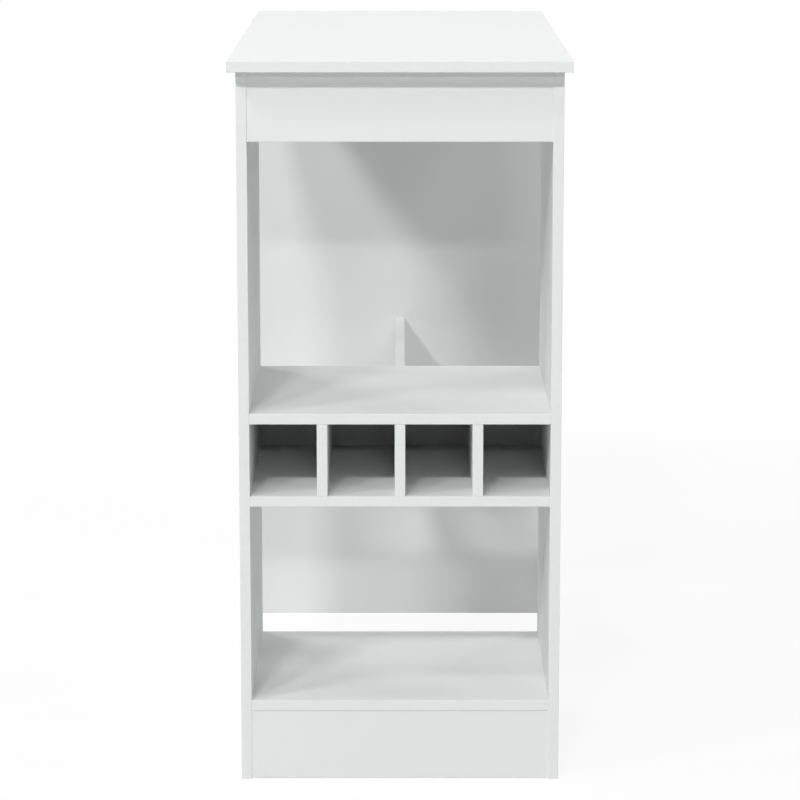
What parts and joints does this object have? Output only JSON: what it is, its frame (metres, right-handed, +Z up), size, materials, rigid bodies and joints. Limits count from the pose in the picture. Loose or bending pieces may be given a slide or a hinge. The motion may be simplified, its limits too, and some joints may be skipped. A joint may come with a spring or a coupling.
{
  "type": "bar table with shelves",
  "caption": "White bar table: a long top carried at one end by an open shelf unit with a bottle rack and at the other by a full-width end panel, tied together by a stretcher board.",
  "frame": {"origin": "on the floor, under the middle of the table top", "axes": "+Z up, +Y along the top from the open front of the shelf unit towards the end panel, +X to the right of someone facing the shelves"},
  "size_m": [0.478, 1.02, 1.035],
  "materials": {
    "white_melamine": "white melamine facing on chipboard, satin",
    "white_edge_band": "white ABS edge band, satin",
    "beech": "raw beech",
    "zinc_plated_steel": "bright zinc plate",
    "zinc_alloy": "die-cast, dull",
    "white_cap": "moulded white polyethylene"
  },
  "bodies": {
    "root": {"bottom_shelf": "white_melamine", "bottom_shelf_cam_bolts": "zinc_plated_steel", "bottom_shelf_cam_discs": "zinc_alloy", "bottom_shelf_dowels": "beech", "bottom_shelf_edge_band": "white_edge_band", "end_panel": "white_melamine", "end_panel_edge_band": "white_edge_band", "front_apron": "white_melamine", "front_apron_cam_bolts": "zinc_plated_steel", "front_apron_cam_discs": "zinc_alloy", "front_apron_dowels": "beech", "front_apron_edge_band": "white_edge_band", "left_side_panel": "white_melamine", "left_side_panel_edge_band": "white_edge_band", "middle_shelf": "white_melamine", "middle_shelf_cam_bolts": "zinc_plated_steel", "middle_shelf_cam_caps": "white_cap", "middle_shelf_cam_discs": "zinc_alloy", "middle_shelf_dowels": "beech", "middle_shelf_edge_band": "white_edge_band", "plinth": "white_melamine", "plinth_cam_bolts": "zinc_plated_steel", "plinth_cam_discs": "zinc_alloy", "plinth_dowels": "beech", "plinth_edge_band": "white_edge_band", "rack_back_dowels": "beech", "rack_back_panel": "white_melamine", "rack_bottom": "white_melamine", "rack_bottom_cam_bolts": "zinc_plated_steel", "rack_bottom_cam_caps": "white_cap", "rack_bottom_cam_discs": "zinc_alloy", "rack_bottom_dowels": "beech", "rack_bottom_edge_band": "white_edge_band", "rack_divider_1": "white_melamine", "rack_divider_1_edge_band": "white_edge_band", "rack_divider_2": "white_melamine", "rack_divider_2_edge_band": "white_edge_band", "rack_divider_3": "white_melamine", "rack_divider_3_edge_band": "white_edge_band", "rack_divider_dowels": "beech", "right_side_panel": "white_melamine", "right_side_panel_edge_band": "white_edge_band", "stretcher": "white_melamine", "stretcher_cam_bolts": "zinc_plated_steel", "stretcher_cam_caps": "white_cap", "stretcher_cam_discs": "zinc_alloy", "stretcher_dowels": "beech", "stretcher_edge_band": "white_edge_band", "table_top": "white_melamine", "table_top_edge_band": "white_edge_band", "top_cam_bolts": "zinc_plated_steel", "top_cam_caps": "white_cap", "top_cam_discs": "zinc_alloy", "top_dowels": "beech"}
  },
  "joints": []
}
